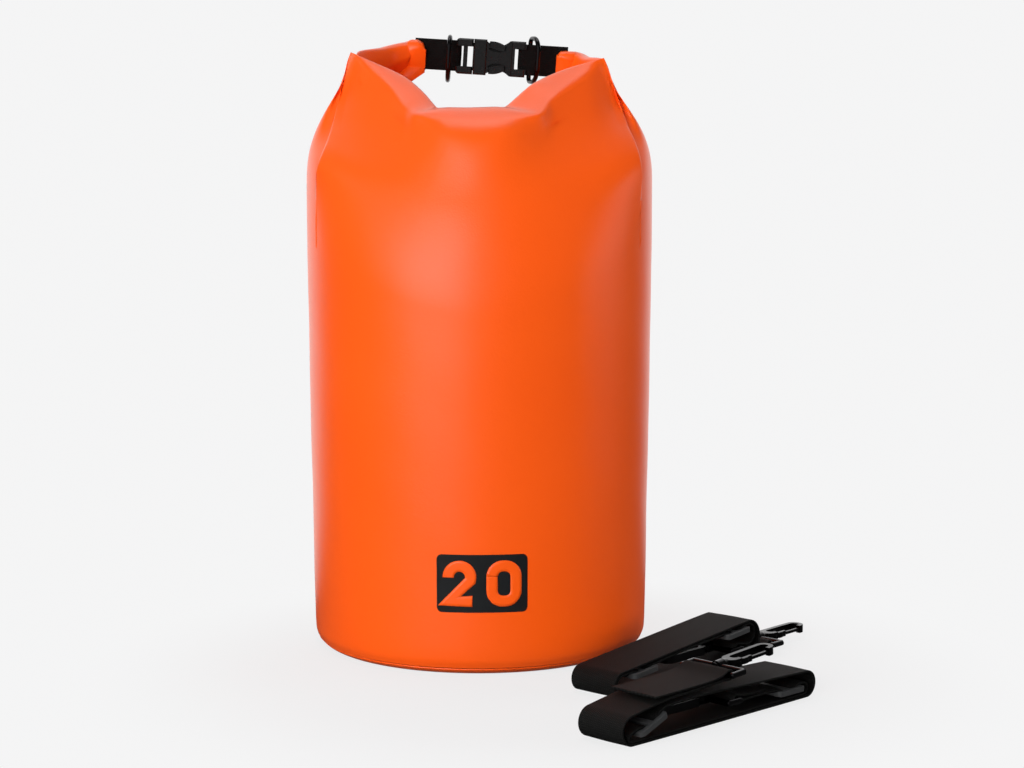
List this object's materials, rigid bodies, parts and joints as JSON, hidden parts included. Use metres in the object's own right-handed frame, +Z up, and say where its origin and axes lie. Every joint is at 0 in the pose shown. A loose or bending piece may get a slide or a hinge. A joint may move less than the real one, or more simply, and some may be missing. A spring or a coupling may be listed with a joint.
{
  "type": "roll-top dry bag",
  "caption": "Cylindrical welded dry bag with a rolled mouth, side-release buckle carry loop, D-rings, and detachable shoulder straps with swivel snap hooks folded beside it.",
  "frame": {"origin": "centre of the underside of the base, on the floor", "axes": "+Z up along the bag, -Y towards the front panel, +X to the right as seen from the front"},
  "size_m": [0.3644, 0.432, 0.4445],
  "materials": {
    "coated_fabric": "satin coated fabric with a fine woven grain and welded seams",
    "stiffener_plastic": "plain strip, hidden inside the roll",
    "webbing": "woven webbing with ribs and bound edges",
    "buckle_plastic": "moulded plastic with a fine texture",
    "slider_plastic": "moulded plastic, worn slightly smooth",
    "ring_metal": "bent wire with a dark satin coating",
    "hook_metal": "die-cast metal with a dark satin coating"
  },
  "bodies": {
    "bag": {"body_shell": "coated_fabric", "base_panel": "coated_fabric", "back_seam_strip": "coated_fabric", "rolled_mouth": "coated_fabric", "mouth_stiffener": "stiffener_plastic", "closure_tab_left": "webbing", "closure_tab_right": "webbing", "buckle_male": "buckle_plastic", "buckle_female": "buckle_plastic", "anchor_patch_left": "coated_fabric", "anchor_patch_right": "coated_fabric", "anchor_webbing_left": "webbing", "anchor_webbing_right": "webbing"},
    "buckle_prong_upper": {"buckle_prong_upper": "buckle_plastic"},
    "buckle_prong_lower": {"buckle_prong_lower": "buckle_plastic"},
    "top_ring_left": {"top_ring_left": "ring_metal"},
    "top_ring_right": {"top_ring_right": "ring_metal"},
    "lower_ring_left": {"lower_ring_left": "ring_metal"},
    "lower_ring_right": {"lower_ring_right": "ring_metal"},
    "front_strap": {"front_strap_webbing": "webbing", "front_strap_slider_outer": "slider_plastic", "front_strap_slider_inner": "slider_plastic", "front_outer_hook_eye": "hook_metal", "front_inner_hook_eye": "hook_metal"},
    "front_outer_hook": {"front_outer_hook_body": "hook_metal", "front_outer_hook_pin": "hook_metal"},
    "front_outer_hook_gate": {"front_outer_hook_gate": "hook_metal"},
    "front_inner_hook": {"front_inner_hook_body": "hook_metal", "front_inner_hook_pin": "hook_metal"},
    "front_inner_hook_gate": {"front_inner_hook_gate": "hook_metal"},
    "rear_strap": {"rear_strap_webbing": "webbing", "rear_strap_slider_outer": "slider_plastic", "rear_strap_slider_inner": "slider_plastic", "rear_outer_hook_eye": "hook_metal", "rear_inner_hook_eye": "hook_metal"},
    "rear_outer_hook": {"rear_outer_hook_body": "hook_metal", "rear_outer_hook_pin": "hook_metal"},
    "rear_outer_hook_gate": {"rear_outer_hook_gate": "hook_metal"},
    "rear_inner_hook": {"rear_inner_hook_body": "hook_metal", "rear_inner_hook_pin": "hook_metal"},
    "rear_inner_hook_gate": {"rear_inner_hook_gate": "hook_metal"}
  },
  "joints": [
    {"name": "buckle_prong_upper_flex", "type": "hinge", "parent": "bag", "child": "buckle_prong_upper", "pos_m": [-0.00168, 0.052, 0.43581], "axis": [0, 1, 0], "range_deg": [0, 10], "stiffness_Nm_per_rad": 0.6},
    {"name": "buckle_prong_lower_flex", "type": "hinge", "parent": "bag", "child": "buckle_prong_lower", "pos_m": [-0.00268, 0.052, 0.41944], "axis": [0, -1, 0], "range_deg": [0, 10], "stiffness_Nm_per_rad": 0.6},
    {"name": "top_ring_left_swing", "type": "hinge", "parent": "bag", "child": "top_ring_left", "pos_m": [-0.0231, 0.052, 0.4263], "axis": [0.061, 0, 0.9981], "range_deg": [-50, 35]},
    {"name": "top_ring_right_swing", "type": "hinge", "parent": "bag", "child": "top_ring_right", "pos_m": [0.03655, 0.052, 0.42525], "axis": [0.061, 0, 0.9981], "range_deg": [-50, 40]},
    {"name": "lower_ring_left_swing", "type": "hinge", "parent": "bag", "child": "lower_ring_left", "pos_m": [-0.06741, 0.10789, 0.052], "axis": [0.848, 0.5299, 0], "range_deg": [0, 150]},
    {"name": "lower_ring_right_swing", "type": "hinge", "parent": "bag", "child": "lower_ring_right", "pos_m": [0.06741, 0.10789, 0.052], "axis": [0.848, -0.5299, 0], "range_deg": [0, 150]},
    {"name": "front_strap_lift", "type": "slide", "parent": "bag", "child": "front_strap", "axis": [0, 0, 1], "range_m": [0, 0.15]},
    {"name": "front_outer_hook_swivel", "type": "hinge", "parent": "front_strap", "child": "front_outer_hook", "pos_m": [0.15867, -0.21183, 0.0303], "axis": [0.7054, 0.7054, 0.0698], "continuous": true},
    {"name": "front_outer_hook_gate_open", "type": "hinge", "parent": "front_outer_hook", "child": "front_outer_hook_gate", "pos_m": [0.17137, -0.20578, 0.03122], "axis": [-0.0493, -0.0493, 0.9976], "range_deg": [0, 13], "stiffness_Nm_per_rad": 0.02},
    {"name": "front_inner_hook_swivel", "type": "hinge", "parent": "front_strap", "child": "front_inner_hook", "pos_m": [0.14751, -0.22299, 0.012], "axis": [-0.7071, -0.7071, 0], "continuous": true},
    {"name": "front_inner_hook_gate_open", "type": "hinge", "parent": "front_inner_hook", "child": "front_inner_hook_gate", "pos_m": [0.13479, -0.22907, 0.012], "axis": [0, 0, 1], "range_deg": [0, 13], "stiffness_Nm_per_rad": 0.02},
    {"name": "rear_strap_lift", "type": "slide", "parent": "bag", "child": "rear_strap", "axis": [0, 0, 1], "range_m": [0, 0.15]},
    {"name": "rear_outer_hook_swivel", "type": "hinge", "parent": "rear_strap", "child": "rear_outer_hook", "pos_m": [0.20251, -0.03127, 0.0072], "axis": [0.6626, 0.749, 0], "continuous": true},
    {"name": "rear_outer_hook_gate_open", "type": "hinge", "parent": "rear_outer_hook", "child": "rear_outer_hook_gate", "pos_m": [0.21484, -0.02442, 0.0072], "axis": [0, 0, 1], "range_deg": [0, 13], "stiffness_Nm_per_rad": 0.02},
    {"name": "rear_inner_hook_swivel", "type": "hinge", "parent": "rear_strap", "child": "rear_inner_hook", "pos_m": [0.16189, -0.07718, 0.0117], "axis": [-0.6626, -0.749, 0], "continuous": true},
    {"name": "rear_inner_hook_gate_open", "type": "hinge", "parent": "rear_inner_hook", "child": "rear_inner_hook_gate", "pos_m": [0.14955, -0.08403, 0.0117], "axis": [0, 0, 1], "range_deg": [0, 13], "stiffness_Nm_per_rad": 0.02}
  ]
}
